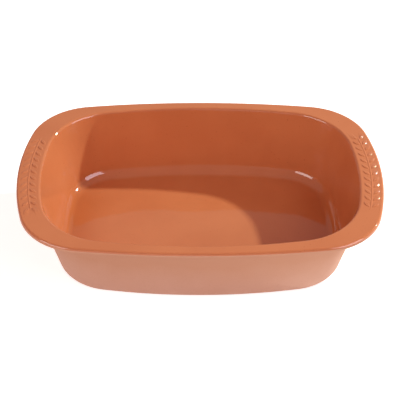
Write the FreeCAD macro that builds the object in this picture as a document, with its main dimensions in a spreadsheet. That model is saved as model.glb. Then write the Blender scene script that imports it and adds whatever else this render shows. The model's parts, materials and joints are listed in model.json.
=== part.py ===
import FreeCAD, Part

import math
import os

import Sketcher
from FreeCAD import Placement, Vector

# A clay baking dish, pressed and fired as one piece: a tapered oblong tub with bowed sides and
# round corners, a flat ledge all round that widens to a crescent handle at each end, and a
# raised sprig of leaves along each handle. +X runs from handle to handle, +Z is up, and the
# origin is the middle of the underside, where the dish stands.

doc = FreeCAD.newDocument("BakingDish")

# Driving sizes, in mm and degrees
SIZES = {
    # Ledge outline, seen from above: bowed long sides, round corners, flatter bowed ends
    "length": 400,
    "width": 274,
    "height": 85,
    "rim_side_radius": 1020,
    "rim_corner_radius": 72,
    "rim_end_radius": 298,
    # Ledge: how far it stands out from the opening at the ends and along the sides
    "handle_width": 26,
    "ledge_width": 13,
    "lip_thickness": 5.5,
    "lip_round": 2.8,
    "lip_chamfer": 1.3,
    # Opening
    "opening_side_radius": 640,
    "opening_corner_radius": 76,
    "opening_end_radius": 314,
    "opening_round": 3,
    # Wall: its thickness at the opening, and how far in each face has leant at the foot
    "wall_thickness": 7,
    "wall_lean": 23,
    "base_round": 6.5,
    "floor_thickness": 8,
    "floor_inset": 20.5,
    "floor_round": 14,
    # Shallow recess under the floor, so that the dish stands on a band round its edge
    "foot_width": 16,
    "foot_recess": 1.2,
    # Raised sprig along the middle of each handle: pairs of pointed leaves
    "sprig_angle": 25,
    "leaf_pairs": 12,
    "leaf_length": 11.5,
    "leaf_width": 3.6,
    "leaf_height": 0.8,
    "leaf_gap": 0.9,
    "leaf_slant": 42,
}

sheet = doc.addObject("Spreadsheet::Sheet", "Sizes")
for row, (alias, number) in enumerate(SIZES.items(), start=1):
    sheet.set(f"A{row}", alias)
    sheet.set(f"B{row}", str(number))
    sheet.setAlias(f"B{row}", alias)
doc.recompute()


class Size:
    """A size worked out from the sheet: its expression, and its present value to start a sketch from."""

    def __init__(self, text, value):
        self.text = text
        self.value = value

    def __add__(self, other):
        return Size(f"{self.text} + {other.text}", self.value + other.value)

    def __sub__(self, other):
        return Size(f"{self.text} - ({other.text})", self.value - other.value)

    def half(self):
        return Size(f"({self.text}) / 2", self.value / 2)


def size(alias):
    return Size(f"Sizes.{alias}", float(sheet.get(alias)))


body = doc.addObject("PartDesign::Body", "baking_dish")
body.Label = "baking_dish"
body.Placement = Placement()


def origin_plane(role):
    return next(item for item in body.Origin.OriginFeatures if item.Role == role)


LEVEL_PLANE = origin_plane("XY_Plane")
START, END, CENTRE = range(1, 4)
HORIZONTAL_AXIS, VERTICAL_AXIS = range(-1, -3, -1)


class Outline:
    """A closed oblong of eight tangent arcs: two sides, two ends and four corners."""

    def __init__(self, half_length, half_width, side, corner, end):
        self.half_length = half_length
        self.half_width = half_width
        self.side = side
        self.corner = corner
        self.end = end

    def grown(self, step):
        return Outline(*(item + step for item in self.parts()))

    def shrunk(self, step):
        return Outline(*(item - step for item in self.parts()))

    def parts(self):
        return self.half_length, self.half_width, self.side, self.corner, self.end

    def arcs(self):
        """The eight arcs, anticlockwise from the +X end, each as centre, radius and its two angles.

        A corner's centre lies where two circles cross: one about the side's centre, of the side's
        radius less the corner's, and one about the end's centre, of the end's radius less the corner's.
        """
        length, width, side, corner, end = (item.value for item in self.parts())
        side_centre = Vector(0, width - side)
        end_centre = Vector(length - end, 0)
        to_side, to_end = side - corner, end - corner
        line = end_centre - side_centre
        along = (to_side ** 2 - to_end ** 2 + line.Length ** 2) / (2 * line.Length)
        across = math.sqrt(to_side ** 2 - along ** 2)
        unit = line / line.Length
        corner_centre = side_centre + unit * along + Vector(unit.y, -unit.x) * across
        side_turn = (corner_centre - side_centre).getAngle(Vector(1, 0))
        end_turn = (corner_centre - end_centre).getAngle(Vector(1, 0))
        found = []
        for half_turn in (0, math.pi):
            flip = math.cos(half_turn)
            far_corner = Vector(-corner_centre.x, corner_centre.y)
            found += [
                (end_centre * flip, end, half_turn - end_turn, half_turn + end_turn),
                (corner_centre * flip, corner, half_turn + end_turn, half_turn + side_turn),
                (side_centre * flip, side, half_turn + side_turn, half_turn + math.pi - side_turn),
                (far_corner * flip, corner, half_turn + math.pi - side_turn, half_turn + math.pi - end_turn),
            ]
        return found


def outline_sketch(name, outline, level=None):
    """A level sketch of an outline, every size in it bound to the sheet."""
    sketch = body.newObject("Sketcher::SketchObject", name)
    sketch.AttachmentSupport = (LEVEL_PLANE, [""])
    sketch.MapMode = "FlatFace"
    if level is not None:
        sketch.setExpression("AttachmentOffset.Base.z", level.text)
    up = Vector(0, 0, 1)
    for centre, radius, first, last in outline.arcs():
        sketch.addGeometry(Part.ArcOfCircle(Part.Circle(centre, up, radius), first, last))
    count = sketch.GeometryCount
    ends, corners, sides = (0, 4), (1, 3, 5, 7), (2, 6)
    for arc in range(count):
        sketch.addConstraint(Sketcher.Constraint("Tangent", arc, END, (arc + 1) % count, START))
    for group in (ends, corners, sides):
        for other in group[1:]:
            sketch.addConstraint(Sketcher.Constraint("Equal", group[0], other))
    for name, arc, radius in (
        ("side", sides[0], outline.side),
        ("corner", corners[0], outline.corner),
        ("end", ends[0], outline.end),
    ):
        driven(sketch, name, Sketcher.Constraint("Radius", arc, radius.value), radius)
    for arc, axis, distance, reach, direction in (
        (ends[0], HORIZONTAL_AXIS, "DistanceX", outline.half_length, Vector(1, 0)),
        (ends[1], HORIZONTAL_AXIS, "DistanceX", outline.half_length, Vector(-1, 0)),
        (sides[0], VERTICAL_AXIS, "DistanceY", outline.half_width, Vector(0, 1)),
        (sides[1], VERTICAL_AXIS, "DistanceY", outline.half_width, Vector(0, -1)),
    ):
        apex = sketch.addGeometry(Part.Point(direction * reach.value), True)
        sketch.addConstraint(Sketcher.Constraint("PointOnObject", arc, CENTRE, axis))
        sketch.addConstraint(Sketcher.Constraint("PointOnObject", apex, START, axis))
        sketch.addConstraint(Sketcher.Constraint("PointOnObject", apex, START, arc))
        outward = direction.x + direction.y > 0
        points = (-1, START, apex, START) if outward else (apex, START, -1, START)
        driven(sketch, f"reach{arc}", Sketcher.Constraint(distance, *points, reach.value), reach)
    return sketch


def driven(sketch, name, constraint, value):
    """Add a named constraint whose value the sheet sets."""
    index = sketch.addConstraint(constraint)
    sketch.renameConstraint(index, name)
    sketch.setExpression(f"Constraints.{name}", value.text)


def feature(kind, name, **settings):
    made = body.newObject(f"PartDesign::{kind}", name)
    for key, value in settings.items():
        setattr(made, key, value)
    return made


def loop_edges(shape, level, outer):
    """Names of the edges round a level face: its outer loop, or the loops of its openings."""
    names = []
    for face in shape.Faces:
        box = face.BoundBox
        if abs(box.ZMax - level) > 1e-4 or abs(box.ZMin - level) > 1e-4:
            continue
        for wire in face.Wires:
            if wire.isSame(face.OuterWire) != outer:
                continue
            for edge in wire.Edges:
                names += [f"Edge{i}" for i, item in enumerate(shape.Edges, start=1) if item.isSame(edge)]
    return sorted(set(names))


def finished(kind, name, level, setting, value, outer=True):
    """Round or chamfer the edges of the level face at a height."""
    edges = loop_edges(body.Tip.Shape, level, outer)
    feature(kind, name, Base=(body.Tip, edges)).setExpression(setting, value.text)
    doc.recompute()


def handle_sketch(name, side, turn):
    """A level sketch on top of a handle, its origin at the centre of the handle's bow."""
    sketch = body.newObject("Sketcher::SketchObject", name)
    sketch.AttachmentSupport = (LEVEL_PLANE, [""])
    sketch.MapMode = "FlatFace"
    centre = rim.half_length - rim.end
    sketch.setExpression("AttachmentOffset.Base.x", f"{side} * ({centre.text})")
    sketch.setExpression("AttachmentOffset.Base.z", height.text)
    sketch.setExpression("AttachmentOffset.Rotation.Angle", turn)
    return sketch


def leaf_lines(sketch, name, root, outward):
    """A long rhombus that springs from its root, slanting outward (1) or inward (-1) off the sprig."""
    length, width, slant = size("leaf_length"), size("leaf_width"), size("leaf_slant")
    lean = math.radians(slant.value)
    along = Vector(outward * math.sin(lean), math.cos(lean)) * length.value
    across = Vector(along.y, -along.x) * (width.value / length.value / 2)
    foot = Vector(root.value, 0)
    corners = (foot, foot + along / 2 + across, foot + along, foot + along / 2 - across)
    lines = [sketch.addGeometry(Part.LineSegment(a, b)) for a, b in zip(corners, corners[1:] + corners[:1])]
    spine = sketch.addGeometry(Part.LineSegment(foot, foot + along), True)
    for line, following in zip(lines, lines[1:] + lines[:1]):
        sketch.addConstraint(Sketcher.Constraint("Coincident", line, END, following, START))
    for line in lines[1:]:
        sketch.addConstraint(Sketcher.Constraint("Equal", lines[0], line))
    sketch.addConstraint(Sketcher.Constraint("Coincident", spine, START, lines[0], START))
    sketch.addConstraint(Sketcher.Constraint("Coincident", spine, END, lines[2], START))
    sketch.addConstraint(Sketcher.Constraint("PointOnObject", spine, START, HORIZONTAL_AXIS))
    widest = (lines[1], START, lines[3], START)
    turn = Size(f"90 - {outward} * {slant.text}", math.atan2(along.y, along.x))
    driven(sketch, f"{name}_root", Sketcher.Constraint("DistanceX", -1, START, spine, START, root.value), root)
    driven(sketch, f"{name}_length", Sketcher.Constraint("Distance", spine, length.value), length)
    driven(sketch, f"{name}_width", Sketcher.Constraint("Distance", *widest, width.value), width)
    driven(sketch, f"{name}_turn", Sketcher.Constraint("Angle", -1, START, spine, START, turn.value), turn)


# Outlines: the opening follows the ledge's reach, the walls follow the opening
height = size("height")
lip_level = height - size("lip_thickness")
floor_level = size("floor_thickness")

rim = Outline(
    size("length").half(),
    size("width").half(),
    size("rim_side_radius"),
    size("rim_corner_radius"),
    size("rim_end_radius"),
)
opening = Outline(
    rim.half_length - size("handle_width"),
    rim.half_width - size("ledge_width"),
    size("opening_side_radius"),
    size("opening_corner_radius"),
    size("opening_end_radius"),
)
wall_top = opening.grown(size("wall_thickness"))
base = wall_top.shrunk(size("wall_lean"))
floor = opening.shrunk(size("floor_inset"))

# Outer wall, a ruled taper from the underside to the top of the ledge
base_sketch = outline_sketch("base_outline", base)
wall_sketch = outline_sketch("wall_top_outline", wall_top, height)
feature("AdditiveLoft", "outer_wall", Profile=base_sketch, Sections=[wall_sketch], Ruled=True)

# Ledge and handles, one flat plate whose top is the top of the dish
rim_sketch = outline_sketch("rim_outline", rim, lip_level)
ledge = feature("Pad", "ledge", Profile=rim_sketch)
ledge.setExpression("Length", "Sizes.lip_thickness")
doc.recompute()

# Inside, a ruled taper from the floor to the opening
floor_sketch = outline_sketch("floor_outline", floor, floor_level)
opening_sketch = outline_sketch("opening_outline", opening, height)
full_volume = body.Tip.Shape.Volume
feature("SubtractiveLoft", "inside", Profile=floor_sketch, Sections=[opening_sketch], Ruled=True)
doc.recompute()
assert body.Tip.Shape.Volume < full_volume, "the inside has cut nothing"

# Recess under the floor
foot_sketch = outline_sketch("foot_outline", base.shrunk(size("foot_width")))
solid_volume = body.Tip.Shape.Volume
recess = feature("Pocket", "foot_recess", Profile=foot_sketch, Reversed=True)
recess.setExpression("Length", "Sizes.foot_recess")
doc.recompute()
assert body.Tip.Shape.Volume < solid_volume, "the recess has cut nothing"

# Every edge is rounded or trimmed, as pressed clay is before it is glazed
finished("Fillet", "floor_edge", floor_level.value, "Radius", size("floor_round"))
finished("Fillet", "base_edge", 0, "Radius", size("base_round"))
finished("Fillet", "lip_top_edge", height.value, "Radius", size("lip_round"))
finished("Fillet", "opening_edge", height.value, "Radius", size("opening_round"), outer=False)
finished("Chamfer", "lip_underside_edge", lip_level.value, "Size", size("lip_chamfer"))

# Sprig along the middle of each handle, concentric with the handle's outer edge
sprig_radius = rim.end - size("handle_width").half()
for name, side, turn in (("right", 1, 0), ("left", -1, 180)):
    leaves = handle_sketch(f"{name}_leaves", side, f"{turn} - Sizes.sprig_angle / 2")
    leaf_lines(leaves, "outer", sprig_radius + size("leaf_gap"), 1)
    leaf_lines(leaves, "inner", sprig_radius - size("leaf_gap"), -1)
    pair = feature("Pad", f"{name}_leaf_pair", Profile=leaves)
    pair.setExpression("Length", "Sizes.leaf_height")
    doc.recompute()
    row = feature("PolarPattern", f"{name}_sprig", Originals=[pair], Axis=(leaves, ["N_Axis"]))
    row.setExpression("Angle", "Sizes.sprig_angle")
    row.setExpression("Occurrences", "Sizes.leaf_pairs")
    body.Tip = row
    doc.recompute()

for item in doc.Objects:
    if "Invalid" in item.State or "Error" in item.State:
        raise RuntimeError(f"{item.Name} failed: {item.State}")
if body.Shape.isNull() or not body.Shape.isValid() or len(body.Shape.Solids) != 1:
    raise RuntimeError("the dish is not one sound solid")

os.makedirs("parts", exist_ok=True)
body.Shape.exportStep(f"parts/{body.Label}.step")
box = body.Shape.optimalBoundingBox(True, False)
print(f"{box.XLength:.1f} x {box.YLength:.1f} x {box.ZLength:.1f} mm, {body.Shape.Volume / 1000:.0f} cm3")
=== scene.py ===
import json
import math

import bpy
import numpy as np
from mathutils import Matrix, Vector

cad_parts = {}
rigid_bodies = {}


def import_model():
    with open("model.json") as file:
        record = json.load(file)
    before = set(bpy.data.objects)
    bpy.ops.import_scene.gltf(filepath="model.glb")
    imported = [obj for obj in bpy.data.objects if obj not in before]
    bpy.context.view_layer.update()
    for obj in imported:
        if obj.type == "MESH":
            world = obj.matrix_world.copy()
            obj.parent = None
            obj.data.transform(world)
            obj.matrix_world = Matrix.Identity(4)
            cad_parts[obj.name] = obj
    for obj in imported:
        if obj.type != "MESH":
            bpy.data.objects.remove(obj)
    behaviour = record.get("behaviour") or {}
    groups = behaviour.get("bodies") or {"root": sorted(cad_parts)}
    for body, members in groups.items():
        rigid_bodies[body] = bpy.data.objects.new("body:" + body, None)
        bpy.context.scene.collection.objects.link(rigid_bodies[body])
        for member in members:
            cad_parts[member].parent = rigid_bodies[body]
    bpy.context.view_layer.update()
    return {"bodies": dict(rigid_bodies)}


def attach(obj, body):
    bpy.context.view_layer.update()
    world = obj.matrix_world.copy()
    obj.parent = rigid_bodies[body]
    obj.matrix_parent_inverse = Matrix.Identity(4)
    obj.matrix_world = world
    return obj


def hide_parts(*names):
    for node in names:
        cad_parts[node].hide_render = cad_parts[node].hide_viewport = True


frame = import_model()
root = next(iter(frame["bodies"]))

# Baking dish. One piece of clay pressed over a mould: an oblong tub with sloping walls, a flat
# ledge all round and a crescent handle at each end. It is glazed inside, on the ledge and over the
# ledge's edge, and bare outside, where it stands on a band round the edge of its underside.

# Sizes of the piece are in mm. An outline of three arcs a quarter has its half length, its half
# width, and the radii of its sides, corners and ends.
OPENING = (174.0, 124.0, 640.0, 76.0, 314.0)
RIM = (200.0, 137.0, 1020.0, 72.0, 298.0)
HANDLE_REACH = 72.0
HEIGHT = 85.0
FLOOR_TOP = 8.0
FLOOR_INSET = 20.5
FLOOR_ROUND = 14.0
OPENING_ROUND = 3.0
LIP_UNDERSIDE = 79.5
LIP_ROUND = 2.8
LIP_LOWER_ROUND = 1.3
WALL_THICKNESS = 7.0
WALL_LEAN = 23.0
COVE_ROUND = 3.0
BASE_ROUND = 6.5
FOOT_WIDTH = 16.0
FOOT_RECESS = 1.2
FOOT_ROUND = 0.5


def outline(normal_angle, sizes):
    """Points of an oblong of tangent arcs, one for each angle of the outward normal.

    Point = arc centre + arc radius * normal. The side arcs are centred on Y and the end arcs on X;
    a corner's centre lies where circles of radius side - corner and end - corner about those two
    centres cross. Growing the oblong by a step moves each point by that step along its own normal.
    """
    half_length, half_width, side, corner, end = sizes
    side_y, end_x = half_width - side, half_length - end
    gap = math.hypot(end_x, side_y)
    along = ((side - corner) ** 2 - (end - corner) ** 2 + gap ** 2) / (2 * gap)
    across = math.sqrt((side - corner) ** 2 - along ** 2)
    line_x, line_y = end_x / gap, -side_y / gap
    corner_x = line_x * along + line_y * across
    corner_y = side_y + line_y * along - line_x * across
    to_end = math.atan2(corner_y, corner_x - end_x)
    to_side = math.atan2(corner_y - side_y, corner_x)
    fold = np.arctan2(np.abs(np.sin(normal_angle)), np.abs(np.cos(normal_angle)))
    arcs = [fold < to_end, fold > to_side]
    centre_x = np.select(arcs, [end_x, 0.0], corner_x)
    centre_y = np.select(arcs, [0.0, side_y], corner_y)
    radius = np.select(arcs, [end, side], corner)
    x = (centre_x + radius * np.cos(fold)) * np.sign(np.cos(normal_angle))
    y = (centre_y + radius * np.sin(fold)) * np.sign(np.sin(normal_angle))
    return np.stack([x, y], axis=-1)


def on_handle(x, y):
    """Whether points lie on a handle: near the long axis, and out past the half width."""
    return (np.abs(y) < HANDLE_REACH) & (np.abs(x) > RIM[1])


FINE_STEPS = 40000
SEAM_TURNS = -0.125


def columns(handle_step, other_step):
    """Normal angles of the mesh's columns: evenly spaced on the rim, closer together on a handle.

    The rim's length is summed on a fine grid of angles that starts at a corner, an eighth of a
    turn back. Each stretch is divided by the spacing wanted there, and the sum is read backwards
    at whole numbers.
    """
    fine = (np.arange(FINE_STEPS + 1) / FINE_STEPS + SEAM_TURNS) * 2 * math.pi
    points = outline(fine, RIM)
    middle = (points[1:] + points[:-1]) / 2
    stretch = np.hypot(*(points[1:] - points[:-1]).T)
    spacing = np.where(on_handle(middle[:, 0], middle[:, 1]), handle_step, other_step)
    count = np.concatenate([[0], np.cumsum(stretch / spacing)])
    total = int(round(count[-1]))
    return np.interp(np.arange(total) * count[-1] / total, count, fine)


def arc(radius, centre_step, centre_height, first, last, parts):
    """Rows along an arc of the section: centre + radius * cos outward, + radius * sin upward."""
    turn = np.radians(np.linspace(first, last, parts + 1))
    return centre_step + radius * np.cos(turn), centre_height + radius * np.sin(turn)


def between(first, last, count):
    """Evenly spaced values from one end to another, without the ends."""
    return np.linspace(first, last, count + 2)[1:-1]


def rows(*stretches):
    """Stack stretches of the section, each (share of the rim, step outward, scale, height)."""
    alike = [np.broadcast_arrays(*map(np.atleast_1d, stretch)) for stretch in stretches]
    return np.concatenate([np.stack(values, axis=-1) for values in alike])


def section():
    """The dish's section, from the middle of the floor out over the ledge and back underneath.

    Inside and outside faces are straight lines that lean by inset / height. An edge of radius r
    between a level and such a line has its centre r from both, so r / cos(lean) from the line,
    measured level.
    """
    inner_lean = math.atan2(FLOOR_INSET, HEIGHT - FLOOR_TOP)
    outer_lean = math.atan2(WALL_LEAN, HEIGHT)
    inner_turn, outer_turn = math.degrees(inner_lean), math.degrees(outer_lean)

    def inner(height):
        return -FLOOR_INSET * (HEIGHT - height) / (HEIGHT - FLOOR_TOP)

    def outer(height):
        return WALL_THICKNESS - WALL_LEAN * (HEIGHT - height) / HEIGHT

    floor_z = FLOOR_TOP + FLOOR_ROUND
    floor_step = inner(floor_z) - FLOOR_ROUND / math.cos(inner_lean)
    fillet = arc(FLOOR_ROUND, floor_step, floor_z, -90, -inner_turn, parts=14)
    edge_z = HEIGHT - OPENING_ROUND
    edge_step = inner(edge_z) + OPENING_ROUND / math.cos(inner_lean)
    edge = arc(OPENING_ROUND, edge_step, edge_z, 180 - inner_turn, 90, parts=7)
    wall_z = between(fillet[1][-1], edge[1][0], count=8)
    ledge = between(0, 1, count=44)
    ledge_step = edge_step + (-LIP_ROUND - edge_step) * ledge
    lip = arc(LIP_ROUND, -LIP_ROUND, HEIGHT - LIP_ROUND, 90, 0, parts=7)
    lower_z = LIP_UNDERSIDE + LIP_LOWER_ROUND
    lower = arc(LIP_LOWER_ROUND, -LIP_LOWER_ROUND, lower_z, 0, -90, parts=4)
    cove_z = LIP_UNDERSIDE - COVE_ROUND
    cove_step = outer(cove_z) + COVE_ROUND / math.cos(outer_lean)
    cove = arc(COVE_ROUND, cove_step, cove_z, 90, 180 - outer_turn, parts=6)
    under = between(1, 0, count=3)
    under_step = cove_step + (-LIP_LOWER_ROUND - cove_step) * under
    base_step = outer(BASE_ROUND) - BASE_ROUND / math.cos(outer_lean)
    base = arc(BASE_ROUND, base_step, BASE_ROUND, -outer_turn, -90, parts=9)
    outer_z = between(cove[1][-1], base[1][0], count=10)
    foot_step = WALL_THICKNESS - WALL_LEAN - FOOT_WIDTH
    foot = arc(FOOT_ROUND, foot_step + FOOT_ROUND, FOOT_ROUND, -90, -180, parts=3)
    floor_rings = np.linspace(0.1, 0.94, 8)
    recess_rings = np.linspace(0.99, 0.1, 6)
    return rows(
        (0, fillet[0][0], floor_rings, FLOOR_TOP),
        (0, fillet[0], 1, fillet[1]),
        (0, inner(wall_z), 1, wall_z),
        (0, edge[0], 1, edge[1]),
        (ledge, ledge_step, 1, HEIGHT),
        (1, lip[0], 1, lip[1]),
        (1, lower[0], 1, lower[1]),
        (under, under_step, 1, LIP_UNDERSIDE),
        (0, cove[0], 1, cove[1]),
        (0, outer(outer_z), 1, outer_z),
        (0, base[0], 1, base[1]),
        (0, foot[0], 1, foot[1]),
        (0, foot_step, 1, FOOT_RECESS),
        (0, foot_step, recess_rings, FOOT_RECESS),
    )


# Sprig on each handle: leaves in pairs that spring from a thin stem, concentric with the handle's
# edge. It is pressed with the dish, raised from the same clay, and softened by the glaze over it.
SPRIG_TURN = 25.0
LEAF_PAIRS = 12
LEAF_LENGTH = 11.5
LEAF_WIDTH = 4.2
LEAF_HEIGHT = 0.74
LEAF_SHOULDER = 0.9
LEAF_GAP = 0.9
LEAF_SLANT = 42.0
GROOVE_SHARE = 0.4
GROOVE_WIDTH = 0.4
STEM_WIDTH = 1.5
STEM_HEIGHT = 0.42
STEM_FLAT_SHARE = 0.2
STEM_TAPER = 4.0


def ease(share):
    """Smooth step from 0 to 1: 3 s^2 - 2 s^3, with s held between 0 and 1."""
    held = np.clip(share, 0, 1)
    return held * held * (3 - 2 * held)


def sprig(x, y):
    """Height of the raised sprig over the ledge, at points of either handle.

    Both handles are worked out as the right one, in turns about the centre of its end arc. A leaf
    is a pointed oval: half width = W / 2 * sin(pi * a / L) at a distance a along it. It rises by a
    smooth step over its shoulder and has a faint groove along the middle. Where leaves meet, the
    higher one counts.
    """
    side = np.where(x < 0, -1.0, 1.0)
    arc_x, arc_y = x * side - (RIM[0] - RIM[4]), y * side
    radial, turn = np.hypot(arc_x, arc_y), np.arctan2(arc_y, arc_x)
    middle = RIM[4] - (RIM[0] - OPENING[0]) / 2
    half_turn = math.radians(SPRIG_TURN / 2)
    off_end = (np.abs(turn) - half_turn) * middle
    stem_half = STEM_WIDTH / 2
    stem = STEM_HEIGHT * ease((stem_half - np.abs(radial - middle)) / stem_half + STEM_FLAT_SHARE)
    height = stem * ease(1 - off_end / STEM_TAPER)
    slant = math.radians(LEAF_SLANT)
    for leaf_turn in np.linspace(-half_turn, half_turn, LEAF_PAIRS):
        for outward in (1, -1):
            from_root = radial * np.cos(turn - leaf_turn) - middle - outward * LEAF_GAP
            past_root = radial * np.sin(turn - leaf_turn)
            sin, cos = outward * math.sin(slant), math.cos(slant)
            along = from_root * sin + past_root * cos
            across = from_root * cos - past_root * sin
            half_width = LEAF_WIDTH / 2 * np.sin(np.pi * np.clip(along / LEAF_LENGTH, 0, 1))
            inside = half_width - np.abs(across)
            groove = 1 - GROOVE_SHARE * np.exp(-((across / GROOVE_WIDTH) ** 2))
            leaf = LEAF_HEIGHT * ease(inside / LEAF_SHOULDER) * groove
            height = np.maximum(height, leaf)
    return height


# Pressing leaves the floor and walls a little uneven. That fades out towards the ledge and the
# foot, which are trimmed true, and lifts the surface only where it is level.
SLIP = 0.35
SLIP_FADE_TOP = 20.0
SLIP_FADE_FOOT = 8.0
FOOT_TRUE = 2.0
LEVEL_TOP = FLOOR_TOP + 1.0

# Painted shade: the glaze is drawn darker where the ends meet the floor, up the crease and a
# little way in over the floor, where the end walls keep light off it
CREASE_SHADE_RISE = 11.0
CREASE_SHADE_REACH = 24.0


def wander(x, y, z):
    """Slow unevenness of pressed clay, from -1 to 1: three crossed sine waves of 90 to 210 mm."""
    return (
        np.sin(x / 21 + z / 34 + 0.7) * np.cos(y / 25 - 0.4)
        + np.sin(x / 15 - y / 19 + 2.1)
        + np.cos((x + y) / 27 + z / 18)
    ) / 3


def dish_mesh():
    """The dish as one closed surface: the section carried round the outlines, and two poles.

    Point = scale * (share * rim + (1 - share) * opening + step * normal), at the row's height.
    Painted shade in the end creases = exp(-(rise up the crease / CREASE_SHADE_RISE)^2
    - (way into the floor / CREASE_SHADE_REACH)^2) times the normal's cos^4, on the rows inside the
      tub.
    """
    angle = columns(handle_step=0.66, other_step=4.0)
    normal = np.stack([np.cos(angle), np.sin(angle)], axis=-1)
    rim, opening = outline(angle, RIM), outline(angle, OPENING)
    share, step, scale, height = (item[:, None] for item in section().T)
    x, y = (
        scale * (share * rim[:, axis] + (1 - share) * opening[:, axis] + step * normal[:, axis])
        for axis in (0, 1)
    )
    z = np.broadcast_to(height, x.shape)
    on_ledge = (share > 0) & (share < 1) & (height == HEIGHT)
    relief = np.where(on_ledge & on_handle(x, y), sprig(x, y), 0)
    loose = ease((HEIGHT - z) / SLIP_FADE_TOP) * ease((z - FOOT_TRUE) / SLIP_FADE_FOOT)
    slip = SLIP * wander(x, y, z) * loose
    x = x + slip * normal[:, 0]
    y = y + slip * normal[:, 1]
    z = z + relief + slip * (height <= LEVEL_TOP)
    # The ledge's rows are the first with a share of the rim, and the rows before them line the tub
    in_tub = np.cumsum(share, axis=0) == 0
    # Painted shade, darkest low in the crease at each end of the tub
    up_crease = (height - FLOOR_TOP) / CREASE_SHADE_RISE
    in_floor = (1 / scale - 1) * np.abs(x) / CREASE_SHADE_REACH
    crease_shade = np.exp(-(up_crease ** 2) - in_floor ** 2) * np.cos(angle) ** 4 * in_tub
    poles = np.array([[0, 0, FLOOR_TOP], [0, 0, FOOT_RECESS]])
    points = np.concatenate([np.stack([x, y, z], axis=-1).reshape(-1, 3), poles]) / 1000
    crease_shade = np.concatenate([crease_shade.ravel(), [0, 0]])

    row_count, column_count = x.shape
    here = np.arange(column_count)
    beside = (here + 1) % column_count
    first = np.arange(row_count - 1)[:, None] * column_count
    after = first + column_count
    quads = np.stack([first + here, after + here, after + beside, first + beside], axis=-1)
    row_of_quad = np.repeat(np.arange(row_count - 1), column_count)
    floor_pole = row_count * column_count
    last = floor_pole - column_count
    floor_fan = np.stack([np.full(column_count, floor_pole), here, beside], axis=-1)
    foot_pole = np.full(column_count, floor_pole + 1)
    foot_fan = np.stack([foot_pole, last + beside, last + here], axis=-1)
    return points, quads.reshape(-1, 4), row_of_quad, floor_fan, foot_fan, crease_shade


points, quads, row_of_quad, floor_fan, foot_fan, crease_shade = dish_mesh()
loops = np.concatenate([quads.ravel(), floor_fan.ravel(), foot_fan.ravel()])
sides = np.concatenate([np.full(len(quads), 4), np.full(len(floor_fan) + len(foot_fan), 3)])
mesh = bpy.data.meshes.new("baking_dish_visual")
mesh.vertices.add(len(points))
mesh.loops.add(len(loops))
mesh.polygons.add(len(sides))
mesh.vertices.foreach_set("co", points.ravel())
mesh.loops.foreach_set("vertex_index", loops)
mesh.polygons.foreach_set("loop_start", np.concatenate([[0], np.cumsum(sides)[:-1]]))
mesh.update(calc_edges=True)

# Glaze covers every row from the middle of the floor over the ledge to partway down the lip's side
rim_share, row_height = section()[:, 0], section()[:, 3]
lip_side = (rim_share == 1) & (row_height <= HEIGHT - LIP_ROUND + 0.01)
bare = np.concatenate([
    row_of_quad >= np.flatnonzero(lip_side)[0],
    np.zeros(len(floor_fan), bool),
    np.ones(len(foot_fan), bool),
])
mesh.polygons.foreach_set("material_index", bare.astype(np.int32))
mesh.polygons.foreach_set("use_smooth", np.ones(len(sides), bool))
# Painted crease shade, read by the glaze
mesh.attributes.new("painted_crease_shade", "FLOAT", "POINT").data.foreach_set("value", crease_shade)
mesh.update()
dish = bpy.data.objects.new("baking_dish_visual", mesh)
bpy.context.scene.collection.objects.link(dish)


def linear(code):
    """An sRGB hex colour as linear RGBA: c / 12.92 to 0.04045, then ((c + 0.055) / 1.055)^2.4."""
    parts = [int(code[i:i + 2], 16) / 255 for i in (0, 2, 4)]
    return [c / 12.92 if c <= 0.04045 else ((c + 0.055) / 1.055) ** 2.4 for c in parts] + [1.0]


def add(tree, kind, inputs=(), **settings):
    """Add a node with its settings; each input gets a value or a link from another's output."""
    made = tree.nodes.new(kind)
    for name, value in settings.items():
        setattr(made, name, value)
    for name, value in dict(inputs).items():
        if isinstance(value, bpy.types.NodeSocket):
            tree.links.new(value, made.inputs[name])
        else:
            made.inputs[name].default_value = value
    return made


def new_material(name):
    """An empty node material, with its node tree and its output's socket."""
    made = bpy.data.materials.new(name)
    made.use_nodes = True
    made.node_tree.nodes.clear()
    output = made.node_tree.nodes.new("ShaderNodeOutputMaterial")
    return made, made.node_tree, output.inputs["Surface"]


# A metre in mm. METRE / size is the scale of a noise with waves of that size.
METRE = 1000
# The sockets that a Mix node uses for colours
MIX_A, MIX_B, MIX_OUT = 6, 7, 2

# Glazed terracotta: a clear lead-free glaze, dipped and fired, over orange-brown clay. The eye sees
# wet, saturated clay colour, a sharp mirror image on top of it, faint orange peel and a few iron
# specks. Specks are under 1 mm, and drawn at 1.6 mm so that they show.
GLAZE = linear("CC784C")
GLAZE_THICK = linear("C77348")
# Colour of the painted shade in the end creases
GLAZE_CREASE_SHADE = linear("BE6739")
GLAZE_SPECK = linear("8E4424")
CLOUD_SIZE = 70
SPECK_SIZE = 1.6
PEEL_SIZE = 9
PEEL_DEPTH = 0.4

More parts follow.
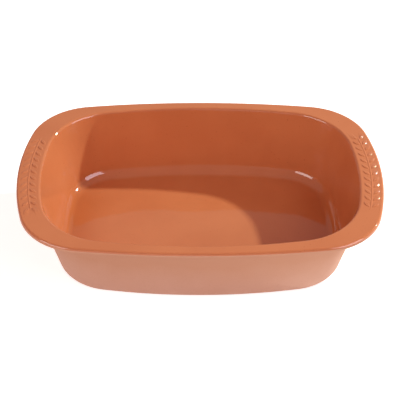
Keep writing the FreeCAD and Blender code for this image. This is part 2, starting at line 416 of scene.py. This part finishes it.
glazed, tree, surface = new_material("glazed_terracotta")
place = add(tree, "ShaderNodeTexCoord").outputs["Object"]
cloud = add(
    tree, "ShaderNodeTexNoise", {"Vector": place, "Scale": METRE / CLOUD_SIZE, "Detail": 3.0}
).outputs["Fac"]
thick = add(
    tree,
    "ShaderNodeMapRange",
    {"Value": cloud, "From Min": 0.35, "From Max": 0.7},
    interpolation_type="SMOOTHSTEP",
).outputs["Result"]
colour = add(
    tree, "ShaderNodeMix", {"Factor": thick, MIX_A: GLAZE, MIX_B: GLAZE_THICK}, data_type="RGBA"
).outputs[MIX_OUT]
speck_noise = add(
    tree, "ShaderNodeTexNoise", {"Vector": place, "Scale": METRE / SPECK_SIZE, "Detail": 1.0}
).outputs["Fac"]
speck = add(
    tree,
    "ShaderNodeMapRange",
    {"Value": speck_noise, "From Min": 0.72, "From Max": 0.8, "To Max": 0.6},
).outputs["Result"]
# Painted shade: darker glaze in the crease at each end
crease_shade_factor = add(tree, "ShaderNodeAttribute", attribute_name="painted_crease_shade").outputs["Fac"]
colour = add(
    tree, "ShaderNodeMix", {"Factor": crease_shade_factor, MIX_A: colour, MIX_B: GLAZE_CREASE_SHADE}, data_type="RGBA"
).outputs[MIX_OUT]
colour = add(
    tree, "ShaderNodeMix", {"Factor": speck, MIX_A: colour, MIX_B: GLAZE_SPECK}, data_type="RGBA"
).outputs[MIX_OUT]
peel = add(
    tree, "ShaderNodeTexNoise", {"Vector": place, "Scale": METRE / PEEL_SIZE, "Detail": 1.0}
).outputs["Fac"]
peel_bump = add(
    tree, "ShaderNodeBump", {"Height": peel, "Strength": 0.12, "Distance": PEEL_DEPTH / METRE}
).outputs["Normal"]
shine = add(
    tree,
    "ShaderNodeBsdfPrincipled",
    {"Base Color": colour, "Roughness": 0.06, "IOR": 1.5, "Normal": peel_bump},
)
tree.links.new(shine.outputs["BSDF"], surface)

# Bare terracotta: the same clay, sponged and fired without glaze. It is paler and pinker, dead
# matt, with sandy grain (0.3 to 0.5 mm, drawn at 1.3 mm so that it shows) and faint level lines
# from the mould. Towards the ledge it is painted darker and warmer as painted shade, in patches.
CLAY = linear("E0B29E")
# Clay colour of the random patches and of the painted shade towards the ledge
CLAY_PATCH_AND_SHADE = linear("D1987A")
CLAY_GRAIN = linear("BF8466")
PATCH_SIZE = 55
GRAIN_SIZE = 1.3
GRAIN_DEPTH = 0.2
LINE_LENGTH = METRE / 6
LINE_SPACING = 5
LINE_DEPTH = 0.3
# Height in mm over which the painted shade rises to full
SHADE_HEIGHT = 75
PATCH_WEIGHT = 0.5

unglazed, tree, surface = new_material("bare_terracotta")
place = add(tree, "ShaderNodeTexCoord").outputs["Object"]
patch = add(
    tree, "ShaderNodeTexNoise", {"Vector": place, "Scale": METRE / PATCH_SIZE, "Detail": 4.0}
).outputs["Fac"]
up = add(tree, "ShaderNodeSeparateXYZ", {"Vector": place}).outputs["Z"]
# Painted shade: darker and warmer up the outer wall towards the ledge
painted_shade_up = add(
    tree, "ShaderNodeMapRange", {"Value": up, "From Max": SHADE_HEIGHT / METRE}
).outputs["Result"]
uneven = add(
    tree, "ShaderNodeMath", {0: patch, 1: PATCH_WEIGHT, 2: painted_shade_up}, operation="MULTIPLY_ADD"
).outputs[0]
patch_and_shade = add(
    tree, "ShaderNodeMapRange", {"Value": uneven, "From Min": 0.1, "From Max": 1.0}
).outputs["Result"]
colour = add(
    tree, "ShaderNodeMix", {"Factor": patch_and_shade, MIX_A: CLAY, MIX_B: CLAY_PATCH_AND_SHADE}, data_type="RGBA"
).outputs[MIX_OUT]
grain = add(
    tree, "ShaderNodeTexNoise", {"Vector": place, "Scale": METRE / GRAIN_SIZE, "Detail": 2.0}
).outputs["Fac"]
dark_grain = add(
    tree,
    "ShaderNodeMapRange",
    {"Value": grain, "From Min": 0.62, "From Max": 0.78, "To Max": 0.5},
).outputs["Result"]
colour = add(
    tree,
    "ShaderNodeMix",
    {"Factor": dark_grain, MIX_A: colour, MIX_B: CLAY_GRAIN},
    data_type="RGBA",
).outputs[MIX_OUT]
stretch = (METRE / LINE_LENGTH, METRE / LINE_LENGTH, METRE / LINE_SPACING)
stretched = add(tree, "ShaderNodeMapping", {"Vector": place, "Scale": stretch}).outputs["Vector"]
lines = add(
    tree, "ShaderNodeTexNoise", {"Vector": stretched, "Scale": 1.0, "Detail": 2.0}
).outputs["Fac"]
line_bump = add(
    tree, "ShaderNodeBump", {"Height": lines, "Strength": 0.2, "Distance": LINE_DEPTH / METRE}
).outputs["Normal"]
grain_bump = add(
    tree,
    "ShaderNodeBump",
    {"Height": grain, "Strength": 0.35, "Distance": GRAIN_DEPTH / METRE, "Normal": line_bump},
).outputs["Normal"]
matt = add(
    tree,
    "ShaderNodeBsdfPrincipled",
    {"Base Color": colour, "Roughness": 0.88, "IOR": 1.45, "Normal": grain_bump},
)
tree.links.new(matt.outputs["BSDF"], surface)

mesh.materials.append(glazed)
mesh.materials.append(unglazed)
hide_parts("baking_dish")
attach(dish, root)

# Studio floor. A sheet of white board that the dish stands on, and no part of the dish. The camera
# and the glaze see it as white, and the dish's shadow stays on it. From GLOW_NEAR to GLOW_FAR, in
# metres, its glow rises to plain white.
FLOOR_REACH = 4.0
FLOOR_SIDES = 96
FLOOR_DROP = 0.0001
BOARD = linear("F0F0F0")
BOARD_GLOW = 0.65
GLOW_NEAR = 0.8
GLOW_FAR = 2.5
WHITE = (1.0, 1.0, 1.0, 1.0)


def background_rays(tree):
    """Light Path of a tree, and a socket that is 1 for camera, glossy and transmission rays."""
    path = add(tree, "ShaderNodeLightPath")
    seen = path.outputs["Is Camera Ray"]
    for ray in ("Is Glossy Ray", "Is Transmission Ray"):
        other = path.outputs[ray]
        seen = add(tree, "ShaderNodeMath", {0: seen, 1: other}, operation="MAXIMUM").outputs[0]
    return path, seen


board, tree, surface = new_material("white_board")
matt_board = add(tree, "ShaderNodeBsdfDiffuse", {"Color": BOARD}).outputs["BSDF"]
path, seen = background_rays(tree)
place = add(tree, "ShaderNodeTexCoord").outputs["Object"]
away = add(tree, "ShaderNodeVectorMath", {0: place}, operation="LENGTH").outputs["Value"]
whiteness = add(
    tree,
    "ShaderNodeMapRange",
    {"Value": away, "From Min": GLOW_NEAR, "From Max": GLOW_FAR, "To Min": BOARD_GLOW},
).outputs["Result"]
lift = add(tree, "ShaderNodeMath", {0: seen, 1: whiteness}, operation="MULTIPLY").outputs[0]
glow = add(tree, "ShaderNodeEmission", {"Color": WHITE, "Strength": lift}).outputs["Emission"]
both = add(tree, "ShaderNodeAddShader", {0: matt_board, 1: glow}).outputs["Shader"]
tree.links.new(both, surface)

floor_mesh = bpy.data.meshes.new("studio_floor")
around = np.linspace(0, 2 * math.pi, FLOOR_SIDES, endpoint=False)
disc = np.stack([
    FLOOR_REACH * np.cos(around),
    FLOOR_REACH * np.sin(around),
    np.full(FLOOR_SIDES, -FLOOR_DROP),
], axis=-1)
floor_mesh.from_pydata(disc.tolist(), [], [list(range(FLOOR_SIDES))])
floor_mesh.materials.append(board)
floor = bpy.data.objects.new("studio_floor", floor_mesh)
bpy.context.scene.collection.objects.link(floor)

# Lamps. A small hard lamp, low on the right and a little behind, throws the right wall's shadow
# across the floor of the dish. A soft box stands off each front corner, and a long low box fills in
# from the front. Distances are in metres from the middle of the dish, angles in degrees.
AIM = Vector((0, 0, 0.05))
KEY_FROM = Vector((0.7578, 0.3990, 0.5163))
KEY_DISTANCE = 3.6
KEY_DIAMETER = 0.14
KEY_WATTS = 137.5
KEY_COLOUR = (0.80, 1.0, 1.0)
FILL_AZIMUTH = 200.0
FILL_ELEVATION = 12.0
FILL_DISTANCE = 2.0
FILL_LENGTH = 1.6
FILL_WIDTH = 0.5
FILL_WATTS = 3.2
BOX_ELEVATION = 31.0
BOX_DISTANCE = 1.7
BOX_SIZE = 1.15
BOX_WATTS = 7.1

# The glaze mirrors a narrow strip of each box. So the box lights the clay and isn't mirrored, and
# a lamp of the strip's size, just in front of it, is mirrored and lights nothing matt.
STRIP_AHEAD = 0.05
STRIP_SPREAD = 40.0
STRIP_WATTS_PER_AREA = 21.0
SOFT_BOXES = (
    # name, azimuth, elevations of the strip's lower and upper edge, colour of the strip
    ("soft_box_right", 123.0, 5.0, 47.0, (0.90, 0.82, 0.95)),
    ("soft_box_left", -127.0, 5.0, 34.0, (1.0, 0.95, 0.92)),
)


def direction(azimuth, elevation):
    """Unit vector at an azimuth from +Y towards +X, and an elevation above the horizon."""
    a, e = math.radians(azimuth), math.radians(elevation)
    return Vector((math.sin(a) * math.cos(e), math.cos(a) * math.cos(e), math.sin(e)))


def span(angle, distance):
    """Width that fills an angle at a distance: 2 * distance * tan(angle / 2)."""
    return 2 * distance * math.tan(math.radians(angle / 2))


def lamp(name, towards, distance, shape, size, size_y, watts):
    """An area lamp that stands in a direction from the dish and points at it."""
    data = bpy.data.lights.new(name, "AREA")
    data.shape, data.size, data.size_y, data.energy = shape, size, size_y, watts
    made = bpy.data.objects.new(name, data)
    towards = towards.normalized()
    made.location = AIM + towards * distance
    made.rotation_mode = "QUATERNION"
    made.rotation_quaternion = towards.to_track_quat("Z", "Y")
    bpy.context.scene.collection.objects.link(made)
    return made


key = lamp("key_lamp", KEY_FROM, KEY_DISTANCE, "DISK", KEY_DIAMETER, KEY_DIAMETER, KEY_WATTS)
key.data.color = KEY_COLOUR
for name, azimuth, bottom, top, strip_colour in SOFT_BOXES:
    towards = direction(azimuth, BOX_ELEVATION)
    box = lamp(name, towards, BOX_DISTANCE, "RECTANGLE", BOX_SIZE, BOX_SIZE, BOX_WATTS)
    box.visible_glossy = False
    towards = direction(azimuth, (bottom + top) / 2)
    nearer = BOX_DISTANCE - STRIP_AHEAD
    wide, tall = span(STRIP_SPREAD, nearer), span(top - bottom, nearer)
    watts = STRIP_WATTS_PER_AREA * wide * tall
    strip = lamp(name + "_image", towards, nearer, "RECTANGLE", wide, tall, watts)
    strip.visible_diffuse = False
    strip.data.color = strip_colour
fill_from = direction(FILL_AZIMUTH, FILL_ELEVATION)
lamp("front_fill", fill_from, FILL_DISTANCE, "RECTANGLE", FILL_LENGTH, FILL_WIDTH, FILL_WATTS)

# Room. Warm light from all round fills the shade. The glaze mirrors it in white at the same
# strength, and the camera sees it as plain white.
ROOM = 0.40
ROOM_SEEN = 0.40
ROOM_COLOUR = (1.0, 0.62, 0.545, 1.0)

world = bpy.data.worlds.new("pale_room")
bpy.context.scene.world = world
world.use_nodes = True
tree = world.node_tree
tree.nodes.clear()
path, seen = background_rays(tree)
warm_room = add(tree, "ShaderNodeBackground", {"Color": ROOM_COLOUR, "Strength": ROOM})
seen_strength = add(
    tree,
    "ShaderNodeMath",
    {0: path.outputs["Is Camera Ray"], 1: 1.0 - ROOM_SEEN, 2: ROOM_SEEN},
    operation="MULTIPLY_ADD",
).outputs[0]
white_room = add(tree, "ShaderNodeBackground", {"Color": WHITE, "Strength": seen_strength})
room = add(
    tree,
    "ShaderNodeMixShader",
    {0: seen, 1: warm_room.outputs["Background"], 2: white_room.outputs["Background"]},
).outputs["Shader"]
tree.links.new(room, add(tree, "ShaderNodeOutputWorld").inputs["Surface"])

# Camera. It looks down 38.5 degrees at the dish's long side from 1.46 m, as the photograph does.
CAMERA_AZIMUTH = math.radians(-0.85)
CAMERA_ELEVATION = math.radians(38.5)
CAMERA_ROLL = math.radians(0.45)
CAMERA_DISTANCE = 1.455
CAMERA_TARGET = Vector((-0.0003, 0.0047, 0.0425))
CAMERA_SENSOR = 36.0
CAMERA_LENS = 117.05
CAMERA_SHIFT = 0.001

back = Vector((
    math.sin(CAMERA_AZIMUTH) * math.cos(CAMERA_ELEVATION),
    -math.cos(CAMERA_AZIMUTH) * math.cos(CAMERA_ELEVATION),
    math.sin(CAMERA_ELEVATION),
))
right = Vector((0, 0, 1)).cross(back).normalized()
up = back.cross(right)
rolled_right = right * math.cos(CAMERA_ROLL) + up * math.sin(CAMERA_ROLL)
rolled_up = up * math.cos(CAMERA_ROLL) - right * math.sin(CAMERA_ROLL)
camera = bpy.data.objects.new("camera", bpy.data.cameras.new("camera"))
camera.data.sensor_width = CAMERA_SENSOR
camera.data.lens = CAMERA_LENS
camera.data.shift_x = CAMERA_SHIFT
camera.matrix_world = Matrix.Translation(CAMERA_TARGET + back * CAMERA_DISTANCE) @ Matrix(
    (rolled_right, rolled_up, back)
).transposed().to_4x4()
bpy.context.scene.collection.objects.link(camera)
bpy.context.scene.camera = camera
bpy.context.scene.view_settings.view_transform = "Standard"
